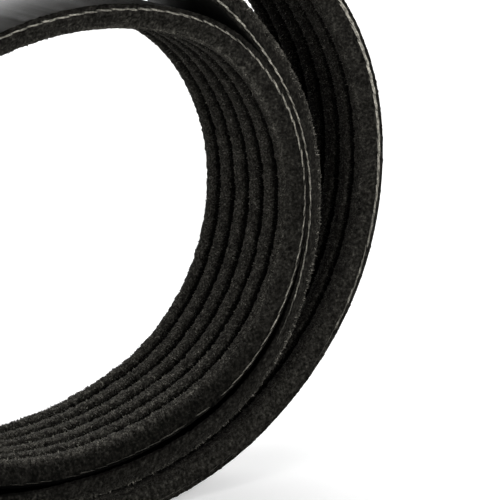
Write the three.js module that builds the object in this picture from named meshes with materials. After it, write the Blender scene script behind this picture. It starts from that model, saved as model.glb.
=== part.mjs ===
// A six-rib serpentine belt, taken off and lying loose in a flat coil that stands on its edge.
// Millimetres. X runs along the coil, Y across the belt, Z up. The origin is on the ground under the
// middle of the coil.
import * as THREE from 'three';

// The belt's section.
const RIB_COUNT = 6;
const RIB_PITCH = 3.56;
const RIB_DEPTH = 2.35;
const RIB_ANGLE = 40;
const VALLEY_FLAT = 0.5;
const CORD_TO_TIP = 3.35;
const CORD_TO_BACK = 0.75;
const BACK_EDGE = 0.2;

// How the strands lie. Lengths are measured at the cord line.
const BACK_CLEARANCE = 0.22;
const RIGHT_RADIUS = 34.4;
const TOP_RADIUS = 67.8;
const TOP_START = 67.6;
const BOTTOM_RADIUS = 72;
const BOTTOM_END = 67.1;
const LEFT_RADIUS = 35.5;
const LEFT_END = 106;
const LEFT_SPACING = 2.4;
const TURN_BACK_RADIUS = 7.5;
const TURN_BACK_ANGLE = 168;
const SHOULDER_RADIUS = 35;
const OUTER_RADIUS = 45.1;
const FOOT_LENGTH = 19;
const TOP_LOOP_RADIUS = 13;

// Middles of the outer arc and of the top loop, measured from the middle of the right-hand arc.
const OUTER_X = -24.9;
const OUTER_Z = -0.85;
const TOP_LOOP_X = -27.3;
const TOP_LOOP_Z = 54.9;

// Points that the outer strand passes on its way up the right-hand side: x, z and heading in degrees.
const OUTER_POINTS = [
  [9.9, -43.9, 374.7],
  [24.2, -38.2, 389.5],
  [36.9, -28.7, 404.4],
  [46.2, -16.3, 422.8],
  [50.7, -1.7, 442.7],
  [50.1, 14, 462.1],
  [44.1, 28.4, 482.5],
];

// Where the middle strand comes down from the top loop, and how far it lies from the inner strand low down.
const MIDDLE_X = 16.4;
const MIDDLE_Z = 35;
const LOW_SPACING = 2.45;
const LOW_ANGLE = -48;
const BOTTOM_SPACING = 1.65;
const BOTTOM_SHIFT = 0.7;

// Headings in degrees where the arcs begin and end. They grow all the way round the outside.
const INNER_START = -58;
const INNER_END = 194;
const SHOULDER_START = 218;
const TURN_BACK_END = 228;
const TOP_LOOP_START = 518;
const TOP_LOOP_END = 732;
const MIDDLE_TOP = 682;
const MIDDLE_START = 666;
const MIDDLE_END = 625;
const LOW_HEADING = 581;
const MIDDLE_LEFT = 518;

// How far a chord may leave the curve, and the longest chord.
const CHORD_ERROR = 0.075;
const LONGEST_STEP = 6;

const WIDTH = RIB_COUNT * RIB_PITCH;
const rad = THREE.MathUtils.degToRad;

// Centres of the arcs of the inner loop, measured from the middle of its right-hand arc. Each arc runs on
// smoothly from the one before it.
const polar = (radius, angle) => new THREE.Vector2(radius * Math.cos(rad(angle)), radius * Math.sin(rad(angle)));
const rightCentre = new THREE.Vector2(0, 0);
const topCentre = polar(RIGHT_RADIUS - TOP_RADIUS, TOP_START);
const bottomCentre = polar(RIGHT_RADIUS - BOTTOM_RADIUS, -BOTTOM_END);
const leftCentre = polar(BOTTOM_RADIUS - LEFT_RADIUS, -LEFT_END).add(bottomCentre);
const middleSpacing = 2 * CORD_TO_BACK + BACK_CLEARANCE;
const turnBackCentre = polar(LEFT_RADIUS + LEFT_SPACING - TURN_BACK_RADIUS, TURN_BACK_ANGLE).add(leftCentre);
const topLoopCentre = new THREE.Vector2(TOP_LOOP_X, TOP_LOOP_Z);
const outerCentre = new THREE.Vector2(OUTER_X, OUTER_Z);
const shoulderCentre = new THREE.Vector2(outerCentre.x - OUTER_RADIUS + SHOULDER_RADIUS, outerCentre.y);

// The cord line as a list of points, each with the heading in degrees in which the belt runs there.
const knots = [];
const addKnot = (x, z, heading) => knots.push({ at: new THREE.Vector2(x, z), heading });

// An arc that turns left when the heading grows, and right when it falls.
function addArc(centre, radius, from, to) {
  const count = Math.ceil(Math.abs(to - from) / 40);
  for (let i = 0; i <= count; i += 1) {
    const heading = from + ((to - from) * i) / count;
    const side = Math.sign(to - from) * radius;
    const x = centre.x + side * Math.sin(rad(heading));
    const z = centre.y - side * Math.cos(rad(heading));
    const last = knots.at(-1);
    if (!last || Math.hypot(last.at.x - x, last.at.y - z) > 0.05) addKnot(x, z, heading);
  }
}

// The inner strand, with its ribs facing the middle of the coil.
addArc(leftCentre, LEFT_RADIUS, INNER_START, 90 - LEFT_END);
addArc(bottomCentre, BOTTOM_RADIUS, 90 - LEFT_END, 90 - BOTTOM_END);
addArc(rightCentre, RIGHT_RADIUS, 90 - BOTTOM_END, 90 + TOP_START);
addArc(topCentre, TOP_RADIUS, 90 + TOP_START, INNER_END);

// It goes on outside the turn-back at the left, and becomes the outer strand, flat where it stands.
addArc(shoulderCentre, SHOULDER_RADIUS, SHOULDER_START, 270);
addArc(outerCentre, OUTER_RADIUS, 270, 360);
addKnot(outerCentre.x + FOOT_LENGTH, outerCentre.y - OUTER_RADIUS, 360);
OUTER_POINTS.forEach(([x, z, heading]) => addKnot(x, z, heading));

// The loop above the coil, where the ribs stay inside.
addArc(topLoopCentre, TOP_LOOP_RADIUS, TOP_LOOP_START, TOP_LOOP_END);

// The middle strand lies with its back against the inner strand and its ribs facing the outer one.
addKnot(MIDDLE_X, MIDDLE_Z, MIDDLE_TOP);
addArc(rightCentre, RIGHT_RADIUS + middleSpacing, MIDDLE_START, MIDDLE_END);
const lowSide = polar(RIGHT_RADIUS + LOW_SPACING, LOW_ANGLE);
addKnot(lowSide.x, lowSide.y, LOW_HEADING);
addKnot(bottomCentre.x - BOTTOM_SHIFT, bottomCentre.y - BOTTOM_RADIUS - BOTTOM_SPACING, 540);
addArc(leftCentre, LEFT_RADIUS + LEFT_SPACING, MIDDLE_LEFT, 270 + TURN_BACK_ANGLE);

// The turn-back, with the belt's back inside it.
addArc(turnBackCentre, TURN_BACK_RADIUS, 270 + TURN_BACK_ANGLE, TURN_BACK_END);

// Points along the cord line, closer together where it bends more.
const stations = [];
knots.forEach((a, i) => {
  const b = knots[(i + 1) % knots.length];
  const turn = ((((b.heading - a.heading + 180) % 360) + 360) % 360) - 180;
  const chord = a.at.distanceTo(b.at);
  const reach = chord / (3 * Math.cos(rad(turn / 4)) ** 2);
  const curve = new THREE.CubicBezierCurve(
    a.at,
    polar(reach, a.heading).add(a.at),
    polar(-reach, b.heading).add(b.at),
    b.at,
  );
  const radius = chord / Math.max(2 * Math.sin(Math.abs(rad(turn)) / 2), 0.001);
  const step = Math.min(LONGEST_STEP, Math.sqrt(8 * radius * CHORD_ERROR));
  const count = Math.ceil(chord / step);
  for (let n = 0; n < count; n += 1) {
    const along = curve.getTangent(n / count);
    stations.push({ at: curve.getPoint(n / count), out: new THREE.Vector2(along.y, -along.x) });
  }
});

// The section, as points across the belt and outward from the cord line, going round once.
const flank = RIB_DEPTH * Math.tan(rad(RIB_ANGLE / 2));
const tipHalf = (RIB_PITCH - VALLEY_FLAT) / 2 - flank;
const valley = RIB_DEPTH - CORD_TO_TIP;
const section = [[0, CORD_TO_BACK - BACK_EDGE], [0, valley]];
for (let rib = 0; rib < RIB_COUNT; rib += 1) {
  const middle = (rib + 0.5) * RIB_PITCH;
  if (rib > 0) section.push([rib * RIB_PITCH + VALLEY_FLAT / 2, valley]);
  section.push([middle - tipHalf, -CORD_TO_TIP], [middle + tipHalf, -CORD_TO_TIP]);
  if (rib < RIB_COUNT - 1) section.push([(rib + 1) * RIB_PITCH - VALLEY_FLAT / 2, valley]);
}
section.push([WIDTH, valley], [WIDTH, CORD_TO_BACK - BACK_EDGE]);
section.push([WIDTH - BACK_EDGE, CORD_TO_BACK], [BACK_EDGE, CORD_TO_BACK]);

// The closed band: every section joined to the next, and the last to the first.
const positions = [];
for (const { at, out } of stations) {
  for (const [across, up] of section) {
    positions.push(at.x + up * out.x, across - WIDTH / 2, at.y + up * out.y);
  }
}
const index = [];
const around = section.length;
for (let i = 0; i < stations.length; i += 1) {
  const here = i * around;
  const next = ((i + 1) % stations.length) * around;
  for (let j = 0; j < around; j += 1) {
    const k = (j + 1) % around;
    index.push(here + j, next + k, here + k, here + j, next + j, next + k);
  }
}
const geometry = new THREE.BufferGeometry();
geometry.setAttribute('position', new THREE.Float32BufferAttribute(positions, 3));
geometry.setIndex(index);

// The coil stands on the ground, with the origin under its middle.
geometry.computeBoundingBox();
const box = geometry.boundingBox;
geometry.translate(-(box.min.x + box.max.x) / 2, 0, -box.min.z);
geometry.computeVertexNormals();

const rubber = new THREE.MeshStandardMaterial({ color: 0x1f1e1d, roughness: 0.85, metalness: 0 });
const belt = new THREE.Mesh(geometry, rubber);
belt.name = 'ribbed_belt';

const coil = new THREE.Group();
coil.add(belt);

export default coil;
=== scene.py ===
"""A loose six-rib serpentine belt, standing on its edge in a coil.

The scene is in metres with Z up, in the frame of the CAD part. The section, the cord line and the places
along and around the belt are worked out in millimetres.
"""
import math

import bpy
import numpy as np
from mathutils import Matrix, Vector


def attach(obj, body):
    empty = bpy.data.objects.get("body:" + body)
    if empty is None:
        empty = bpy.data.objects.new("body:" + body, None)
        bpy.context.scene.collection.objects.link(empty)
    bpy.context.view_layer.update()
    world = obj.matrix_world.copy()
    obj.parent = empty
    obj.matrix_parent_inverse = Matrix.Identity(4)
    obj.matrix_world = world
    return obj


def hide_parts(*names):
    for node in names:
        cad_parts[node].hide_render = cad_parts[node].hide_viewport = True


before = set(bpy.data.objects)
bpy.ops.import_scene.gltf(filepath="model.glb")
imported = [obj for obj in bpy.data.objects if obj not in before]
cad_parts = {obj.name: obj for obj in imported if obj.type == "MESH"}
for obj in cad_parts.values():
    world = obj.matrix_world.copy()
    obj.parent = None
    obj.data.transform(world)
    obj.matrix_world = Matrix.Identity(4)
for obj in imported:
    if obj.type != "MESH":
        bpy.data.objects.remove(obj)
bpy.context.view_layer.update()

MM = 0.001

# The section, as in the CAD part. Heights are measured out from the cord line, towards the back.
RIB_COUNT = 6
RIB_PITCH = 3.56
RIB_DEPTH = 2.35
RIB_ANGLE = 40.0
VALLEY_FLAT = 0.5
CORD_TO_TIP = 3.35
CORD_TO_BACK = 0.75
WIDTH = RIB_COUNT * RIB_PITCH
VALLEY = RIB_DEPTH - CORD_TO_TIP

# How the strands lie, as in the CAD part. Lengths are measured at the cord line, and angles in degrees.
BACK_CLEARANCE = 0.22
RIGHT_RADIUS = 34.4
TOP_RADIUS = 67.8
TOP_START = 67.6
BOTTOM_RADIUS = 72.0
BOTTOM_END = 67.1
LEFT_RADIUS = 35.5
LEFT_END = 106.0
LEFT_SPACING = 2.4
TURN_BACK_RADIUS = 7.5
TURN_BACK_ANGLE = 168.0
SHOULDER_RADIUS = 35.0
OUTER_RADIUS = 45.1
FOOT_LENGTH = 19.0
TOP_LOOP_RADIUS = 13.0

# Middles of the outer arc and of the top loop, measured from the middle of the right-hand arc.
OUTER_MIDDLE = (-24.9, -0.85)
TOP_LOOP_MIDDLE = (-27.3, 54.9)

# Points that the outer strand passes on its way up the right-hand side: x, z and heading in degrees.
OUTER_POINTS = [(9.9, -43.9, 374.7), (24.2, -38.2, 389.5), (36.9, -28.7, 404.4), (46.2, -16.3, 422.8),
                (50.7, -1.7, 442.7), (50.1, 14.0, 462.1), (44.1, 28.4, 482.5)]

# Where the middle strand comes down from the top loop, and how far it lies from the inner strand low down.
MIDDLE_PLACE = (16.4, 35.0)
LOW_SPACING = 2.45
LOW_ANGLE = -48
BOTTOM_SPACING = 1.65
BOTTOM_SHIFT = 0.7

# Headings in degrees where the arcs begin and end. They grow all the way round the outside.
INNER_START = -58
INNER_END = 194
SHOULDER_START = 218
TURN_BACK_END = 228
TOP_LOOP_START = 518
TOP_LOOP_END = 732
MIDDLE_TOP = 682
MIDDLE_START = 666
MIDDLE_END = 625
LOW_HEADING = 581
MIDDLE_LEFT = 518

# The middle of the right-hand arc, in the part's frame.
ARC_X = 9.46
ARC_Z = 46.70

# How far apart the points of the cord line are, and how far to each side of a place its direction is taken.
LINE_STEP = 0.1
LINE_REACH = 0.3

# Stretches that the photograph shows, by length along the belt. The mesh is finer there. The cord's yarns
# slant the other way beyond the first one.
SHOWN = ((22.0, 202.0), (345.0, 472.0), (574.0, 762.0))
FINE_STEP = 0.42
PLAIN_STEP = 1.7

# The least step that is left where the mesh closes.
LAST_STEP = 0.3

# Where the inner strand ends, by length along the belt. Beyond it the cord's yarns lap more.
INNER_STRAND = 330

# The rounding of a rib's corners: two heights above the tip, how far outside the tip's flat each corner has
# its points there, and how much the tip is crowned.
CORNER_HIGH = 0.34
CORNER_LOW = 0.06
NEAR_REACH = (0.15, 0.02)
FAR_REACH = (0.17, 0.04)
CROWN = 0.03

# Half the width of the flat that the mesh has in a valley.
VALLEY_HALF = 0.24

# Heights of the points of a side, below the bevel at the back.
SIDE_HEIGHTS = (0.42, 0.25, -0.45, VALLEY)

# The bevel at the back's two edges: its depth, its width, and its middle point's distance from the side and
# from the back.
BEVEL_DEPTH = 0.12
BEVEL_WIDTH = 0.14
BEVEL_IN = 0.03
BEVEL_DOWN = 0.04

# The fabric on the back stands this far proud of the CAD part's back, and is smooth from this far in.
BACK_PROUD = 0.08
BACK_SMOOTH = 0.6

# How far the worn rib corners stray sideways and in height, and over what length, and the same for the
# back's edges.
RAGGED = 0.17
RAGGED_UP = 0.05
RAGGED_LENGTH = 0.7
BACK_RAGGED = 0.08
BACK_RAGGED_LENGTH = 0.55

# The order of the points round the section: five on the front side, nine for each rib with the valley after
# it, five on the rear side, two at the rear edge of the back, three on the back and two at its front edge.
SIDE_POINTS = 5
RIB_POINTS = 9
FIRST_CORNER = SIDE_POINTS + 1
LAST_CORNER = SIDE_POINTS + RIB_POINTS * (RIB_COUNT - 1) + 5
REAR_EDGE = LAST_CORNER + 2 + SIDE_POINTS
FRONT_EDGE = REAR_EDGE + 5
RIBS = slice(FIRST_CORNER, LAST_CORNER + 1)
BACK = slice(REAR_EDGE + 1, FRONT_EDGE + 1)

# Heights above which the tone is the backing's, and below which it is the ribs'.
BACK_FROM = 0.3
RIBS_BELOW = -2.5

# Points of the flanks within a rib's nine, without those of the first rib's front flank.
FLANK_POINTS = (0, 1, 5, 6)
FLANKS = [SIDE_POINTS + RIB_POINTS * rib + k for rib in range(RIB_COUNT) for k in FLANK_POINTS][2:]

# The tables that follow give a value by length along the belt, from where the inner strand begins.

# How far a strand lies behind the others, and how far outside its cord line.
SET_BACK = [(0, 0.0), (636, 0.0), (652, 0.45), (662, 0.42), (676, 0.12), (690, 0.0), (870, 0.0)]
SET_OUT = [(0, 0.0), (136, 0.0), (148, 0.16), (160, 0.16), (172, 0.0), (330, 0.0), (350, 0.1), (480, 0.1),
           (500, 0.0), (600, 0.0), (618, 0.25), (640, 0.25), (652, 0.08), (690, 0.0), (720, -0.2),
           (770, -0.2), (800, 0.0), (870, 0.0)]

# How worn the ribs are.
WEAR = [(0, 1.6), (66, 1.6), (92, 1.0), (690, 1.0), (704, 1.5), (870, 1.5)]

# How pale the ribs are, their front corner and their flanks, and how much the ribs darken towards the rear.
# The ribs are brighter low at the left, and darker on the outer strand and on the middle strand's upper
# stretch, as painted shade where the other strands shade them. The front corner is partly pale fibre and
# partly a painted highlight where it catches the light. The flanks are darker low at the left and at the top,
# as painted shade in the valleys, and lighter on the outer strand. The darkening towards the rear is painted
# shade, where the middle strand shades the outer strand's rear ribs.
RIB_TONE_AND_SHADE = [(0, 1.5), (60, 1.5), (92, 1.05), (200, 1.0), (330, 0.55), (372, 0.4), (408, 0.38), (428, 0.55),
            (450, 0.75), (600, 0.6), (690, 0.5), (704, 1.25), (870, 1.25)]
CORNER_FIBRE_AND_HIGHLIGHT = [(0, 1.0), (118, 1.0), (136, 1.9), (176, 1.9), (205, 1.2), (330, 1.0), (600, 1.0),
               (622, 3.4), (690, 3.4), (704, 1.0), (870, 1.0)]
FLANK_SHADE_AND_TONE = [(0, 0.5), (66, 0.5), (92, 1.0), (125, 1.0), (145, 0.4), (180, 0.4), (205, 1.0), (330, 1.0),
              (350, 2.4), (425, 2.4), (450, 1.0), (870, 1.0)]
REAR_SHADE = [(0, 0.0), (335, 0.0), (360, 1.0), (450, 1.0), (480, 0.0), (870, 0.0)]

# How pale the cut sides are, and the edges of the backing. The sides are darker low at the left. The
# backing's edges are near black low at the left and dim on the middle strand's lower stretch, as painted
# shade in the gaps between the strands.
SIDE_TONE = [(0, 0.5), (80, 0.5), (96, 0.9), (120, 0.95), (140, 1.1), (210, 1.0), (330, 1.15), (480, 1.15),
             (600, 1.0), (680, 1.0), (700, 0.85), (870, 0.6)]
BACK_EDGE_TONE_AND_SHADE = [(0, 0.0), (46, 0.0), (64, 0.25), (78, 0.3), (104, 0.8), (210, 0.8), (330, 0.6), (400, 0.9),
             (674, 0.9), (690, 0.45), (706, 0.4), (770, 0.2), (870, 0.1)]

# How pale and how glossy the backing is: the value scales both its colour and its gloss. It is near zero
# where the backing lies in the gaps between the strands low at the left, as painted shade, and above one at
# the top left, where the backing's sheen shows and its colour is brightened as a painted sheen.
GLOSS_AND_SHADE = [(0, 0.0), (100, 0.03), (147, 0.05), (150, 0.6), (152, 1.3), (157, 1.2), (160, 0.8), (166, 0.7),
         (174, 0.65), (177, 0.85), (179, 1.3), (183, 1.5), (192, 1.45), (206, 1.2), (224, 0.6), (300, 0.45),
         (600, 0.45), (625, 0.4), (660, 0.1), (706, 0.0), (870, 0.0)]

# How much of the tension cord the cut edge shows, at the front and at the rear.
FRONT_CORD = [(0, 0.0), (56, 0.25), (76, 0.4), (86, 0.65), (94, 0.75), (118, 0.7), (126, 0.95), (140, 0.95),
              (146, 0.78), (200, 0.8), (260, 0.6), (330, 0.2), (396, 0.0), (404, 0.5), (424, 0.65),
              (436, 0.95), (470, 0.95), (620, 0.85), (655, 0.9), (672, 0.75), (686, 0.6), (696, 0.2),
              (704, 0.0), (870, 0.0)]
REAR_CORD = [(0, 0.5), (60, 0.9), (150, 1.0), (230, 0.5), (300, 0.0), (400, 0.1), (450, 0.8), (560, 1.0),
             (640, 0.6), (720, 0.1), (800, 0.2), (870, 0.5)]

# How wide the cord is where it shows, and how far out from the cord line.
CORD_WIDTH = [(0, 0.22), (96, 0.22), (125, 0.27), (200, 0.32), (345, 0.40), (398, 0.42), (440, 0.58),
              (500, 0.58), (600, 0.4), (640, 0.3), (700, 0.24), (870, 0.24)]
CORD_OUT = [(0, 0.0), (66, 0.25), (112, 0.2), (128, 0.03), (141, -0.34), (156, -0.1), (166, 0.02),
            (184, -0.2), (205, 0.0), (340, 0.0), (405, -0.18), (440, -0.22), (470, -0.1), (640, 0.1),
            (654, 0.2), (672, 0.05), (690, 0.1), (870, 0.0)]

# How far the fibre ends stand out, and how pale they are along the front corner.
FUZZ = [(0, 1.4), (64, 1.4), (92, 1.0), (330, 1.0), (345, 1.3), (472, 1.3), (500, 1.0), (620, 1.3),
        (640, 1.6), (690, 1.6), (700, 1.4), (870, 1.4)]
EDGE_FUZZ = [(0, 0.6), (125, 0.6), (142, 1.0), (170, 1.0), (190, 0.8), (330, 0.6), (600, 0.6),
             (625, 3.4), (690, 3.4), (705, 0.6), (870, 0.6)]

# The cord's yarns: how many lie side by side, their length, how far their ends slant, their thickness in
# shares of the cord's width, and how many points each has round it and along it.
YARNS = 3
YARN_LENGTH = (2.7, 3.2)
YARN_SLANT = (0.09, 0.14)
YARN_THICKNESS = (0.36, 0.5)
YARN_RING = 5
YARN_STEPS = 8

# The fibre ends: how many bodies they are made in, how many are in each, and how much they keep to the rib
# corners, up to one.
FIBRE_BODIES = 3
FIBRE_COUNT = 40000
CORNER_SHARE = 0.85

# Their least height and what fuzz adds to it, half their width at the foot, how deep they are rooted, and how
# far their tips lean over the surface and slip along the belt.
FIBRE_LOW = 0.05
FIBRE_RISE = 0.24
FIBRE_HALF = (0.05, 0.10)
FIBRE_ROOT = 0.06
FIBRE_LEAN = 0.25
FIBRE_SLIP = 0.16

# The floor's colour, and how much it glows to the camera close to the belt. Between the two distances in
# metres from the middle the glow grows to pure white.
FLOOR_GREY = 0.85
FLOOR_GLOW = 0.255
FLOOR_NEAR = 0.35
FLOOR_FAR = 0.8
FLOOR_HALF = 4

# The light that the world gives the belt.
WORLD_STRENGTH = 0.02

# Each lamp: where it is, its two sizes in metres and its power in watts. All of them point at one place.
LAMP_AIM = (0, 0, 0.05)
LAMPS = {
    "behind": ((0.54, 0.95, 0.52), (1.1, 0.9), 3.4),
    "backlow": ((0.20, 1.10, 0.38), (0.9, 0.7), 13.6),
    "over": ((0.10, 0.20, 1.20), (1.0, 1.0), 6.1),
    "left": ((-1.10, -0.45, 0.40), (0.8, 0.8), 6.1),
    "front": ((0.00, -1.10, 0.50), (0.8, 0.8), 7.1),
    "right": ((0.75, -0.85, 0.50), (0.8, 0.8), 6.8),
}

# The camera, fitted to the photograph's curves: its angles in degrees, its distance and aim in metres, its
# focal length and the photograph's width in pixels, and the sensor's width in millimetres.
AZIMUTH = 41.46
ELEVATION = 14.67
DISTANCE = 0.7946
AIM = (0.03216, -0.01068, 0.0396)
FOCAL_PIXELS = 4921.6
PHOTO_PIXELS = 500.0
SENSOR = 36.0


def polar(radius, angle, base=(0.0, 0.0)):
    """The point at a radius and an angle in degrees from a base."""
    a = math.radians(angle)
    return (base[0] + radius * math.cos(a), base[1] + radius * math.sin(a))


def cord_knots():
    """Points of the cord line, each with its heading in degrees."""
    right = (0.0, 0.0)
    top = polar(RIGHT_RADIUS - TOP_RADIUS, TOP_START)
    bottom = polar(RIGHT_RADIUS - BOTTOM_RADIUS, -BOTTOM_END)
    left = polar(BOTTOM_RADIUS - LEFT_RADIUS, -LEFT_END, bottom)
    turn_back = polar(LEFT_RADIUS + LEFT_SPACING - TURN_BACK_RADIUS, TURN_BACK_ANGLE, left)
    outer = OUTER_MIDDLE
    shoulder = (outer[0] - OUTER_RADIUS + SHOULDER_RADIUS, outer[1])
    middle = RIGHT_RADIUS + 2 * CORD_TO_BACK + BACK_CLEARANCE
    knots = []

    def arc(centre, radius, start, end):
        """An arc between two headings, which turns left when they grow and right when they fall."""
        count = math.ceil(abs(end - start) / 40)
        side = math.copysign(radius, end - start)
        for i in range(count + 1):
            heading = start + (end - start) * i / count
            x = centre[0] + side * math.sin(math.radians(heading))
            z = centre[1] - side * math.cos(math.radians(heading))
            if not knots or math.hypot(knots[-1][0] - x, knots[-1][1] - z) > 0.05:
                knots.append((x, z, heading))

    # The inner strand, with its ribs facing the middle of the coil.
    arc(left, LEFT_RADIUS, INNER_START, 90 - LEFT_END)
    arc(bottom, BOTTOM_RADIUS, 90 - LEFT_END, 90 - BOTTOM_END)
    arc(right, RIGHT_RADIUS, 90 - BOTTOM_END, 90 + TOP_START)
    arc(top, TOP_RADIUS, 90 + TOP_START, INNER_END)

    # It goes on outside the turn-back at the left, and becomes the outer strand, flat where it stands.
    arc(shoulder, SHOULDER_RADIUS, SHOULDER_START, 270)
    arc(outer, OUTER_RADIUS, 270, 360)
    knots.append((outer[0] + FOOT_LENGTH, outer[1] - OUTER_RADIUS, 360))
    knots.extend(OUTER_POINTS)

    # The loop above the coil, where the ribs stay inside.
    arc(TOP_LOOP_MIDDLE, TOP_LOOP_RADIUS, TOP_LOOP_START, TOP_LOOP_END)

    # The middle strand lies with its back against the inner strand and its ribs facing the outer one.
    knots.append((*MIDDLE_PLACE, MIDDLE_TOP))
    arc(right, middle, MIDDLE_START, MIDDLE_END)
    knots.append((*polar(RIGHT_RADIUS + LOW_SPACING, LOW_ANGLE), LOW_HEADING))
    knots.append((bottom[0] - BOTTOM_SHIFT, bottom[1] - BOTTOM_RADIUS - BOTTOM_SPACING, 540))
    arc(left, LEFT_RADIUS + LEFT_SPACING, MIDDLE_LEFT, 270 + TURN_BACK_ANGLE)

    # The turn-back, with the belt's back inside it.
    arc(turn_back, TURN_BACK_RADIUS, 270 + TURN_BACK_ANGLE, TURN_BACK_END)
    return knots


def cord_line():
    """The closed cord line as closely spaced points in the part's frame, in millimetres."""
    knots = cord_knots()
    points = []
    for i, a in enumerate(knots):
        b = knots[(i + 1) % len(knots)]
        turn = (b[2] - a[2] + 180) % 360 - 180
        chord = math.hypot(b[0] - a[0], b[1] - a[1])
        reach = chord / (3 * math.cos(math.radians(turn / 4)) ** 2)
        p0, p3 = np.array(a[:2]), np.array(b[:2])
        p1 = np.array(polar(reach, a[2], a))
        p2 = np.array(polar(-reach, b[2], b))
        count = max(4, round(chord / LINE_STEP))
        t = (np.arange(count) / count)[:, None]
        points.append((1 - t) ** 3 * p0 + 3 * t * (1 - t) ** 2 * p1 + 3 * t * t * (1 - t) * p2 + t ** 3 * p3)
    return np.concatenate(points) + np.array([ARC_X, ARC_Z])


class Line:
    """The cord line measured by length, with the direction out towards the belt's back."""

    def __init__(self):
        points = cord_line()
        closed = np.vstack([points, points[:1]])
        self.s = np.concatenate([[0.0], np.cumsum(np.hypot(*np.diff(closed, axis=0).T))])
        self.length = self.s[-1]
        self.points = closed

    def at(self, s):
        s = np.mod(s, self.length)
        return np.stack([np.interp(s, self.s, values) for values in self.points.T], -1)

    def out(self, s):
        step = self.at(s + LINE_REACH) - self.at(s - LINE_REACH)
        step /= np.hypot(step[..., 0], step[..., 1])[..., None]
        return np.stack([step[..., 1], -step[..., 0]], -1)

    def read(self, table, s):
        """The value that a table gives at a length along the belt, or at many."""
        return np.interp(np.mod(s, self.length), *zip(*table))

    def place(self, s, across, up):
        """Points in metres at a length along, a distance across and a height out from the cord line."""
        at, out = self.at(s), self.out(s)
        up = up + self.read(SET_OUT, s)
        x = at[..., 0] + up * out[..., 0]
        z = at[..., 1] + up * out[..., 1]
        return np.stack([x, across - WIDTH / 2 + self.read(SET_BACK, s) + 0 * x, z], -1) * MM


line = Line()


def is_shown(s):
    return any(a <= s % line.length <= b for a, b in SHOWN)


def stations():
    """Lengths along the belt, closer together on the stretches that the photograph shows."""
    out = []
    s = 0.0
    while s < line.length - LAST_STEP:
        out.append(s)
        s += FINE_STEP if is_shown(s) else PLAIN_STEP
    return np.array(out)


def smooth_noise(rng, positions, wavelength):
    """Smooth closed random curve along the belt, about one in size."""
    count = max(8, round(line.length / wavelength))
    values = rng.normal(0, 1, count)
    u = np.mod(positions, line.length) / line.length * count
    i = np.floor(u).astype(int)
    f = u - i
    f = f * f * (3 - 2 * f)
    return values[i % count] * (1 - f) + values[(i + 1) % count] * f


def rib_points(rib):
    """The seven points of one rib: across, height, then the wear that moves each, as fine_section says."""
    flank = RIB_DEPTH * math.tan(math.radians(RIB_ANGLE / 2))
    tip = (RIB_PITCH - VALLEY_FLAT) / 2 - flank
    mid = (rib + 0.5) * RIB_PITCH
    low = -CORD_TO_TIP
    near, far = 2 * rib, 2 * rib + 1
    return [
        (mid - tip - flank * 0.5, VALLEY - RIB_DEPTH * 0.5, near, -0.4, 0.1),
        (mid - tip - NEAR_REACH[0], low + CORNER_HIGH, near, -1.0, 0.1),
        (mid - tip - NEAR_REACH[1], low + CORNER_LOW, near, -0.9, 0.4),
        (mid, low + CROWN, near, 0.0, 0.2),
        (mid + tip + FAR_REACH[1], low + CORNER_LOW, far, 0.9, 0.4),
        (mid + tip + FAR_REACH[0], low + CORNER_HIGH, far, 1.0, 0.1),
        (mid + tip + flank * 0.5, VALLEY - RIB_DEPTH * 0.5, far, 0.4, 0.1),
    ]


def fine_section():
    """Points round the section: across, height, then the wear of each: which curve, and its share in both."""
    none = (0, 0.0, 0.0)
    back = CORD_TO_BACK + BACK_PROUD
    heights = (back - BEVEL_DEPTH, *SIDE_HEIGHTS)
    rows = [(0.0, up, *none) for up in heights]
    for rib in range(RIB_COUNT):
        rows += rib_points(rib)
        if rib < RIB_COUNT - 1:
            valley = (rib + 1) * RIB_PITCH
            rows += [(valley - VALLEY_HALF, VALLEY, *none), (valley + VALLEY_HALF, VALLEY, *none)]
    rows += [(WIDTH, up, *none) for up in heights[::-1]]
    rear_back, front_back = 2 * RIB_COUNT, 2 * RIB_COUNT + 1
    across_share, up_share = BACK_RAGGED / RAGGED, BACK_RAGGED / RAGGED_UP
    rows += [(WIDTH - BEVEL_IN, back - BEVEL_DOWN, rear_back, -across_share, -up_share),
             (WIDTH - BEVEL_WIDTH, back, rear_back, 0.0, -up_share)]
    rows += [(at, back, *none) for at in (WIDTH - BACK_SMOOTH, WIDTH / 2, BACK_SMOOTH)]
    rows += [(BEVEL_WIDTH, back, front_back, 0.0, -up_share),
             (BEVEL_IN, back - BEVEL_DOWN, front_back, across_share, -up_share)]
    return np.array(rows)


def finish_mesh(name, verts, faces, smooth):
    """A new object in the scene from points and faces."""
    mesh = bpy.data.meshes.new(name)
    mesh.from_pydata(verts, [], faces)
    mesh.polygons.foreach_set("use_smooth", np.full(len(mesh.polygons), smooth))
    mesh.update()
    obj = bpy.data.objects.new(name, mesh)
    bpy.context.collection.objects.link(obj)
    return obj


def store(mesh, name, values):
    """A value on each point that the materials shade by."""
    mesh.attributes.new(name, "FLOAT", "POINT").data.foreach_set("value", values)


def worn_section(rng, marks, section):
    """How far across and out each point of the section lies at each station, with its wear."""
    n = len(marks)
    across = np.repeat(section[None, :, 0], n, 0)
    up = np.repeat(section[None, :, 1], n, 0)
    wear = [smooth_noise(rng, marks, RAGGED_LENGTH) for _ in range(2 * RIB_COUNT)]
    wear += [abs(smooth_noise(rng, marks, BACK_RAGGED_LENGTH)) for _ in range(2)]
    lift = [smooth_noise(rng, marks, RAGGED_LENGTH) for _ in range(2 * RIB_COUNT)] + wear[-2:]
    worse = line.read(WEAR, marks)
    for j, (which, sideways, outward) in enumerate(section[:, 2:]):
        curve, rise = wear[int(which)], lift[int(which)]
        across[:, j] += RAGGED * worse * sideways * (0.55 * curve + 0.75 * rng.normal(0, 1, n))
        up[:, j] += RAGGED_UP * worse * outward * (0.8 * rise + 0.4 * rng.normal(0, 1, n))
    return across, up


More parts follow.
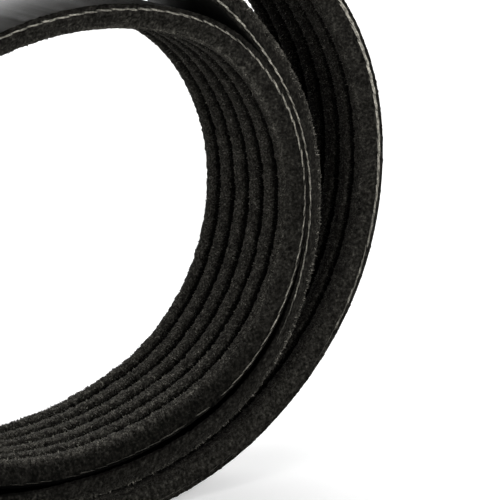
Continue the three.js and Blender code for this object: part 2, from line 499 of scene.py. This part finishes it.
def body_tone(rng, marks, section, s, up):
    """How pale each point is, with painted light and shade along the belt, and on the backing how glossy."""

    def by_station(table):
        """A table's value at each station, for all its points."""
        return line.read(table, marks)[:, None]

    tone = np.where(up < RIBS_BELOW, line.read(RIB_TONE_AND_SHADE, s), line.read(SIDE_TONE, s))
    tone = np.where(up > BACK_FROM, line.read(BACK_EDGE_TONE_AND_SHADE, s), tone)
    clumps = np.clip(rng.normal(0, 1, tone[:, RIBS].shape), -1.5, 1.5)
    tone[:, RIBS] = by_station(RIB_TONE_AND_SHADE) * (1 + 0.6 * (by_station(WEAR) - 1) * clumps)
    tone[:, BACK] = by_station(GLOSS_AND_SHADE)
    tone[:, FIRST_CORNER:FIRST_CORNER + 2] *= by_station(CORNER_FIBRE_AND_HIGHLIGHT)
    # Painted shade: the outer strand's rear ribs are darker where the middle strand shades them.
    fall = np.maximum(0.4 - 1.8 * section[RIBS, 0] / WIDTH, -0.7)
    tone[:, RIBS] *= 1 + by_station(REAR_SHADE) * fall
    tone[:, FLANKS] *= by_station(FLANK_SHADE_AND_TONE)
    return tone


def lay_out(mesh, marks, section):
    """A layout in metres along and around the belt."""
    steps = np.diff(np.vstack([section[:, :2], section[:1, :2]]), axis=0)
    around = np.concatenate([[0.0], np.cumsum(np.hypot(*steps.T))])
    far = np.append(marks[1:], line.length)
    loops = np.empty((len(marks), len(section), 4, 2))
    loops[:, :, 0, 0] = loops[:, :, 3, 0] = marks[:, None]
    loops[:, :, 1, 0] = loops[:, :, 2, 0] = far[:, None]
    loops[:, :, 0, 1] = loops[:, :, 1, 1] = around[None, :-1]
    loops[:, :, 2, 1] = loops[:, :, 3, 1] = around[None, 1:]
    mesh.uv_layers.new(name="lay").data.foreach_set("uv", (loops * MM).reshape(-1))


def build_body():
    """The belt itself, with worn rib corners and the values that its materials shade by."""
    rng = np.random.default_rng(7)
    section = fine_section()
    marks = stations()
    n, m = len(marks), len(section)
    across, up = worn_section(rng, marks, section)
    s = np.repeat(marks[:, None], m, 1)
    verts = line.place(s, across, up).reshape(-1, 3)
    i = np.arange(n)[:, None]
    j = np.arange(m)[None, :]
    next_i = (i + 1) % n
    next_j = (j + 1) % m
    faces = np.stack([i * m + j, next_i * m + j, next_i * m + next_j, i * m + next_j], -1).reshape(-1, 4)
    obj = finish_mesh("belt_body", verts.tolist(), faces.tolist(), True)
    lay_out(obj.data, marks, section)
    store(obj.data, "layer", up.reshape(-1))
    store(obj.data, "tone", body_tone(rng, marks, section, s, up).reshape(-1))
    ribs, side, backing = 0, 1, 2
    slot = np.full((n, m), backing)
    slot[:, :REAR_EDGE + 1] = side
    slot[:, FRONT_EDGE:] = side
    slot[:, FIRST_CORNER:LAST_CORNER] = ribs
    obj.data.polygons.foreach_set("material_index", slot.reshape(-1))
    return obj


def build_thread(name, side, shown, seed):
    """The cut tension cord along one edge: short slanting lengths, each lapping over the next."""
    rng = np.random.default_rng(seed)
    verts, faces, layers = [], [], []
    ring, steps = YARN_RING, YARN_STEPS
    t = np.linspace(0, 1, steps)
    swell = 0.1 + 0.9 * np.clip(1 - (2 * t - 1) ** 2, 0, 1) ** 0.6
    s = 0.0
    while s < line.length - 4.0:
        bare = line.read(shown, s + 1.5)
        length = rng.uniform(*YARN_LENGTH)
        lean = 1 if s < SHOWN[0][1] else -1
        for yarn in range(YARNS):
            if rng.uniform() > bare * 1.6:
                continue
            wide = line.read(CORD_WIDTH, s) * (0.55 + 0.45 * bare)
            start = s + rng.uniform(-0.2, 0.2)
            long = length * rng.uniform(1.0, 1.12)
            slant = rng.uniform(*YARN_SLANT)
            mid = line.read(CORD_OUT, s + 1.5) + slant * (2 * t - 1) * lean
            mid = mid + (yarn - 1) * wide * 0.28 + rng.normal(0, 0.02)
            mid = mid + 0.03 * np.sin(2 * math.pi * (t * 2 + yarn / 3))
            thick = wide * rng.uniform(*YARN_THICKNESS)
            shade = bare * rng.uniform(0.72, 1.05)
            base = len(verts)
            for k in range(ring):
                a = 2 * math.pi * k / ring
                out = mid + 0.5 * thick * swell * math.cos(a)
                reach = (0.04 + 0.06 * bare) * swell * math.sin(a) + 0.03 + 0.02 * (yarn == 1)
                across = -reach if side < 0 else WIDTH + reach
                verts.extend(line.place(start + long * t, across, out).tolist())
                layers.extend([shade] * steps)
            for k in range(ring):
                here, there = base + k * steps, base + (k + 1) % ring * steps
                faces.extend([(here + i, there + i, there + i + 1, here + i + 1) for i in range(steps - 1)])
            faces.append([base + k * steps for k in range(ring)][::-1])
            faces.append([base + k * steps + steps - 1 for k in range(ring)])
        s += length * (rng.uniform(0.92, 1.0) if s < INNER_STRAND else rng.uniform(0.84, 0.9))
    obj = finish_mesh(name, verts, faces, True)
    store(obj.data, "layer", layers)
    return obj


def rib_surface(rng, count):
    """Random places on the ribs: length, section point, and directions over the surface and away from it."""
    section = fine_section()
    rows = [k for k in range(len(section) - 1) if min(section[k, 1], section[k + 1, 1]) < VALLEY - 0.6]
    edges = np.array([section[k + 1, :2] - section[k, :2] for k in rows])
    lengths = np.hypot(edges[:, 0], edges[:, 1])
    worn = np.array([max(abs(section[k, 3]), abs(section[k + 1, 3])) for k in rows])
    weight = lengths * (1 - CORNER_SHARE + CORNER_SHARE * 3 * (worn > 0.7))
    pick = rng.choice(len(rows), count, p=weight / weight.sum())
    over = edges[pick] / lengths[pick][:, None]
    at = section[np.array(rows)[pick], :2] + over * (rng.uniform(0, 1, count) * lengths[pick])[:, None]
    away = np.stack([over[:, 1], -over[:, 0]], -1)
    s = rng.uniform(0, line.length, count)
    widths = np.array([b - a for a, b in SHOWN])
    stretch = rng.choice(len(SHOWN), count, p=widths / widths.sum())
    shown = np.array(SHOWN)[stretch, 0] + widths[stretch] * rng.uniform(0, 1, count)
    return np.where(rng.uniform(0, 1, count) < 0.6, shown, s), at, over, away


def build_fibres(name, seed, count):
    """Short fibre ends standing out of the ribs, thickest along the rib corners."""
    rng = np.random.default_rng(seed)
    s, at, over, away = rib_surface(rng, count)
    fuzz = line.read(FUZZ, s)
    reach = FIBRE_LOW + FIBRE_RISE * fuzz * rng.uniform(0, 1, count) ** 2
    lean = np.clip(rng.normal(0, FIBRE_LEAN, count), -0.4, 0.4)
    slip = rng.normal(0, FIBRE_SLIP, count)
    half = rng.uniform(*FIBRE_HALF, count) * fuzz ** 0.5
    tip = at + away * reach[:, None] + over * lean[:, None]
    foot = at - away * FIBRE_ROOT
    corners = [line.place(s + slip, tip[:, 0], tip[:, 1])]
    for ds, dv in ((-1.0, 0.0), (0.6, -0.9), (0.6, 0.9)):
        p = foot + over * (half * dv)[:, None]
        corners.append(line.place(s + half * ds, p[:, 0], p[:, 1]))
    verts = np.stack(corners, 1).reshape(-1, 3)
    i = np.arange(count)[:, None] * 4
    faces = np.concatenate([i + [0, 1, 2], i + [0, 2, 3], i + [0, 3, 1], i + [1, 3, 2]])
    obj = finish_mesh(name, verts.tolist(), faces.tolist(), False)
    # The fibres take the ribs' tone with its painted shade, and are darker deeper in the valleys, as painted
    # shade.
    shade = rng.uniform(0, 1, count) * (0.55 + 0.45 * fuzz) * line.read(RIB_TONE_AND_SHADE, s) ** 0.7
    shade = shade * np.interp(at[:, 1], (-3.0, -2.4, -1.6), (1.0, 0.5, 0.25))
    shade = np.clip(np.where(at[:, 0] < 1.0, line.read(EDGE_FUZZ, s), 1.0) * shade, 0, 1)
    store(obj.data, "layer", np.repeat(shade, 4))
    return obj


def new_material(name):
    """A material with one shader, and its nodes, links and shader."""
    mat = bpy.data.materials.new(name)
    mat.use_nodes = True
    nodes = mat.node_tree.nodes
    nodes.clear()
    out = nodes.new("ShaderNodeOutputMaterial")
    shader = nodes.new("ShaderNodeBsdfPrincipled")
    mat.node_tree.links.new(shader.outputs["BSDF"], out.inputs["Surface"])
    return mat, nodes, mat.node_tree.links, shader


def math_node(nodes, links, operation, a, b):
    """The result of an operation on two values, of which the second may be a plain number."""
    node = nodes.new("ShaderNodeMath")
    node.operation = operation
    links.new(a, node.inputs[0])
    if isinstance(b, float):
        node.inputs[1].default_value = b
    else:
        links.new(b, node.inputs[1])
    return node.outputs[0]


def attribute(nodes, name):
    """The node that reads a value stored on the points."""
    node = nodes.new("ShaderNodeAttribute")
    node.attribute_name = name
    return node


def noise(nodes, links, coords, scale, detail, rough):
    """A noise from zero to one."""
    tex = nodes.new("ShaderNodeTexNoise")
    tex.inputs["Scale"].default_value = scale
    tex.inputs["Detail"].default_value = detail
    tex.inputs["Roughness"].default_value = rough
    links.new(coords, tex.inputs["Vector"])
    return tex.outputs["Fac"]


def ramp(nodes, links, value, stops):
    """A colour from a value, through grey stops or colour stops."""
    node = nodes.new("ShaderNodeValToRGB")
    elements = node.color_ramp.elements
    while len(elements) < len(stops):
        elements.new(0.5)
    for element, (place, colour) in zip(elements, stops):
        element.position = place
        element.color = (*(colour if isinstance(colour, tuple) else (colour, colour, colour)), 1.0)
    links.new(value, node.inputs["Fac"])
    return node.outputs["Color"]


def multiply(nodes, links, a, b):
    """One colour times another."""
    mix = nodes.new("ShaderNodeMix")
    mix.data_type = "RGBA"
    mix.blend_type = "MULTIPLY"
    mix.inputs["Factor"].default_value = 1.0
    links.new(a, mix.inputs["A"])
    links.new(b, mix.inputs["B"])
    return mix.outputs["Result"]


def map_range(nodes, links, value, start, end, low=0.0, high=1.0):
    """A value that runs from low to high while another runs from start to end."""
    node = nodes.new("ShaderNodeMapRange")
    node.inputs["From Min"].default_value = start
    node.inputs["From Max"].default_value = end
    node.inputs["To Min"].default_value = low
    node.inputs["To Max"].default_value = high
    links.new(value, node.inputs["Value"])
    return node.outputs["Result"]


def layer_ramp(nodes, links, coords, stops, fray):
    """Grey by the value stored on the points, whose edges a noise frays by so much."""
    value = attribute(nodes, "layer").outputs["Fac"]
    if fray:
        frayed = nodes.new("ShaderNodeMath")
        frayed.operation = "MULTIPLY_ADD"
        frayed.inputs[1].default_value = fray
        links.new(noise(nodes, links, coords, 2400.0, 2.0, 0.6), frayed.inputs[0])
        links.new(value, frayed.inputs[2])
        value = frayed.outputs[0]
    low, high = stops[0][0] + fray / 2, stops[-1][0] + fray / 2
    places = [((at + fray / 2 - low) / (high - low), grey) for at, grey in stops]
    return ramp(nodes, links, map_range(nodes, links, value, low, high), places)


def warm(grey):
    """A grey with the rubber's slight warmth."""
    return (grey * 1.05, grey, grey * 0.86)


def rubber(name, greys, scale, bump, rough, specular, layers=None, fray=0.0, stretch=None, toned=True):
    """Dark rubber with a fine grain, shaded by the layer and the tone stored on the points.

    The greys and the layers are stops of a ramp. Rubber without layers takes its gloss from the tone too.
    """
    mat, nodes, links, shader = new_material(name)
    source = nodes.new("ShaderNodeTexCoord")
    coords = source.outputs["Object"]
    if stretch:
        lay = nodes.new("ShaderNodeMapping")
        lay.inputs["Scale"].default_value = stretch
        links.new(source.outputs["UV"], lay.inputs["Vector"])
        coords = lay.outputs["Vector"]
    grain = noise(nodes, links, coords, scale, 4.0, 0.65)
    colour = ramp(nodes, links, grain, [(pos, warm(grey)) for pos, grey in greys])
    blotches = noise(nodes, links, source.outputs["Object"], 1000.0, 2.0, 0.5)
    colour = multiply(nodes, links, colour, ramp(nodes, links, blotches, [(0.34, 0.62), (0.66, 1.4)]))
    if layers:
        shade = layer_ramp(nodes, links, source.outputs["Object"], layers, fray)
        colour = multiply(nodes, links, colour, shade)
    # The tone carries painted light and shade along the belt.
    if toned:
        tone = attribute(nodes, "tone")
        colour = multiply(nodes, links, colour, tone.outputs["Color"])
    links.new(colour, shader.inputs["Base Color"])
    shader.inputs["Roughness"].default_value = rough
    shader.inputs["Specular IOR Level"].default_value = specular
    if toned and not layers:
        gloss = math_node(nodes, links, "MULTIPLY", tone.outputs["Fac"], specular)
        links.new(gloss, shader.inputs["Specular IOR Level"])
    bumps = nodes.new("ShaderNodeBump")
    bumps.inputs["Strength"].default_value = bump
    bumps.inputs["Distance"].default_value = 0.15 * MM
    links.new(noise(nodes, links, coords, scale * 0.9, 4.0, 0.7), bumps.inputs["Height"])
    links.new(bumps.outputs["Normal"], shader.inputs["Normal"])
    return mat


def build_belt():
    """The belt with its three materials, in place of the CAD part."""
    body = build_body()
    # The ribs darken into their valleys: partly bare rubber there, partly painted shade.
    ribs = rubber("ribbed_rubber", [(0.34, 0.0040), (0.47, 0.0160), (0.58, 0.0320), (0.70, 0.0750)],
                  scale=3000.0, bump=1.0, rough=0.85, specular=0.01, fray=0.5,
                  layers=[(-3.3, 1.0), (-2.75, 0.9), (-2.55, 0.3), (-2.2, 0.1), (-1.9, 0.06)])
    # The cut side is lighter on the first rib's outer flank, as painted light, and darker at the backing.
    side = rubber("cut_side", [(0.32, 0.0020), (0.46, 0.0070), (0.58, 0.0150), (0.70, 0.0330)],
                  scale=2100.0, bump=0.8, rough=0.85, specular=0.01, fray=0.3,
                  layers=[(-3.3, 1.3), (-1.9, 1.15), (-1.1, 0.95), (-0.5, 1.0), (-0.3, 0.85), (0.75, 0.8)])
    backing = rubber("backing", [(0.35, 0.0070), (0.65, 0.0140)],
                     scale=3000.0, bump=0.25, rough=0.5, specular=0.5, stretch=(0.35, 1.0, 1.0))
    for mat in (ribs, side, backing):
        body.data.materials.append(mat)
    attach(body, "root")
    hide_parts("ribbed_belt")


def build_threads_and_fibres():
    """The tension cords that the cut edges show, and the fuzz on the ribs."""
    thread = rubber("thread", [(0.35, 0.12), (0.65, 0.48)],
                    scale=2500.0, bump=0.6, rough=0.85, specular=0.1, toned=False,
                    layers=[(0.0, 0.08), (0.3, 0.15), (0.8, 0.8), (1.0, 1.0)])
    fibre = rubber("fibre", [(0.36, 0.6), (0.66, 1.0)],
                   scale=2600.0, bump=0.1, rough=0.9, specular=0.1, toned=False,
                   layers=[(0.0, 0.017), (0.5, 0.034), (0.8, 0.085), (1.0, 0.20)])
    pieces = [(build_thread("thread_front", -1, FRONT_CORD, 11), thread),
              (build_thread("thread_rear", 1, REAR_CORD, 12), thread)]
    for k in range(FIBRE_BODIES):
        pieces.append((build_fibres(f"fibres_{k + 1}", 20 + k, FIBRE_COUNT), fibre))
    for piece, mat in pieces:
        piece.data.materials.append(mat)
        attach(piece, "root")


def seen_directly(nodes, links):
    """One for rays that show a surface to the camera, straight or by way of gloss or glass, and else zero."""
    path = nodes.new("ShaderNodeLightPath")
    value = path.outputs["Is Camera Ray"]
    for ray in ("Is Glossy Ray", "Is Transmission Ray"):
        value = math_node(nodes, links, "MAXIMUM", value, path.outputs[ray])
    return value


def build_floor():
    """A floor that keeps the belt's shadow and is otherwise white to the camera."""
    corners = [(x * FLOOR_HALF, y * FLOOR_HALF, 0) for x, y in ((-1, -1), (1, -1), (1, 1), (-1, 1))]
    floor = finish_mesh("floor", corners, [(0, 1, 2, 3)], False)
    mat, nodes, links, shader = new_material("floor_white")
    shader.inputs["Base Color"].default_value = (FLOOR_GREY, FLOOR_GREY, FLOOR_GREY, 1.0)
    shader.inputs["Roughness"].default_value = 0.9
    shader.inputs["Specular IOR Level"].default_value = 0.0
    place = nodes.new("ShaderNodeNewGeometry")
    distance = nodes.new("ShaderNodeVectorMath")
    distance.operation = "LENGTH"
    links.new(place.outputs["Position"], distance.inputs[0])
    paler = map_range(nodes, links, distance.outputs["Value"], FLOOR_NEAR, FLOOR_FAR, FLOOR_GLOW, 1.0)
    glow = nodes.new("ShaderNodeEmission")
    share = math_node(nodes, links, "MULTIPLY", seen_directly(nodes, links), paler)
    links.new(share, glow.inputs["Strength"])
    total = nodes.new("ShaderNodeAddShader")
    links.new(shader.outputs["BSDF"], total.inputs[0])
    links.new(glow.outputs["Emission"], total.inputs[1])
    surface = next(n for n in nodes if n.type == "OUTPUT_MATERIAL").inputs["Surface"]
    links.new(total.outputs["Shader"], surface)
    floor.data.materials.append(mat)


def build_world():
    """A world that is white to the camera and gives the belt hardly any light."""
    world = bpy.data.worlds.new("studio")
    bpy.context.scene.world = world
    world.use_nodes = True
    nodes, links = world.node_tree.nodes, world.node_tree.links
    background = nodes["Background"]
    background.inputs["Color"].default_value = (1.0, 1.0, 1.0, 1.0)
    strength = math_node(nodes, links, "MAXIMUM", seen_directly(nodes, links), WORLD_STRENGTH)
    links.new(strength, background.inputs["Strength"])


def add_lamp(name, place, size, power):
    """A lamp that the camera doesn't see, turned to the belt."""
    data = bpy.data.lights.new(name, "AREA")
    data.shape = "RECTANGLE"
    data.size, data.size_y = size
    data.energy = power
    lamp = bpy.data.objects.new(name, data)
    lamp.location = place
    lamp.rotation_euler = (Vector(LAMP_AIM) - Vector(place)).to_track_quat("-Z", "Y").to_euler()
    lamp.visible_camera = False
    bpy.context.collection.objects.link(lamp)


def add_camera():
    """The camera in the photograph's place."""
    turn, rise = math.radians(AZIMUTH), math.radians(ELEVATION)
    back = Vector((-math.sin(turn) * math.cos(rise), -math.cos(turn) * math.cos(rise), math.sin(rise)))
    right = Vector((math.cos(turn), -math.sin(turn), 0.0))
    axes = Matrix((right, back.cross(right), back)).transposed().to_4x4()
    data = bpy.data.cameras.new("camera")
    data.sensor_width = SENSOR
    data.lens = FOCAL_PIXELS / PHOTO_PIXELS * SENSOR
    data.clip_end = 20.0
    camera = bpy.data.objects.new("camera", data)
    camera.matrix_world = Matrix.Translation(Vector(AIM) + back * DISTANCE) @ axes
    bpy.context.collection.objects.link(camera)
    bpy.context.scene.camera = camera


build_belt()
build_threads_and_fibres()
build_floor()
build_world()
for lamp_name, spec in LAMPS.items():
    add_lamp(lamp_name, *spec)
add_camera()
bpy.context.scene.view_settings.view_transform = "Standard"
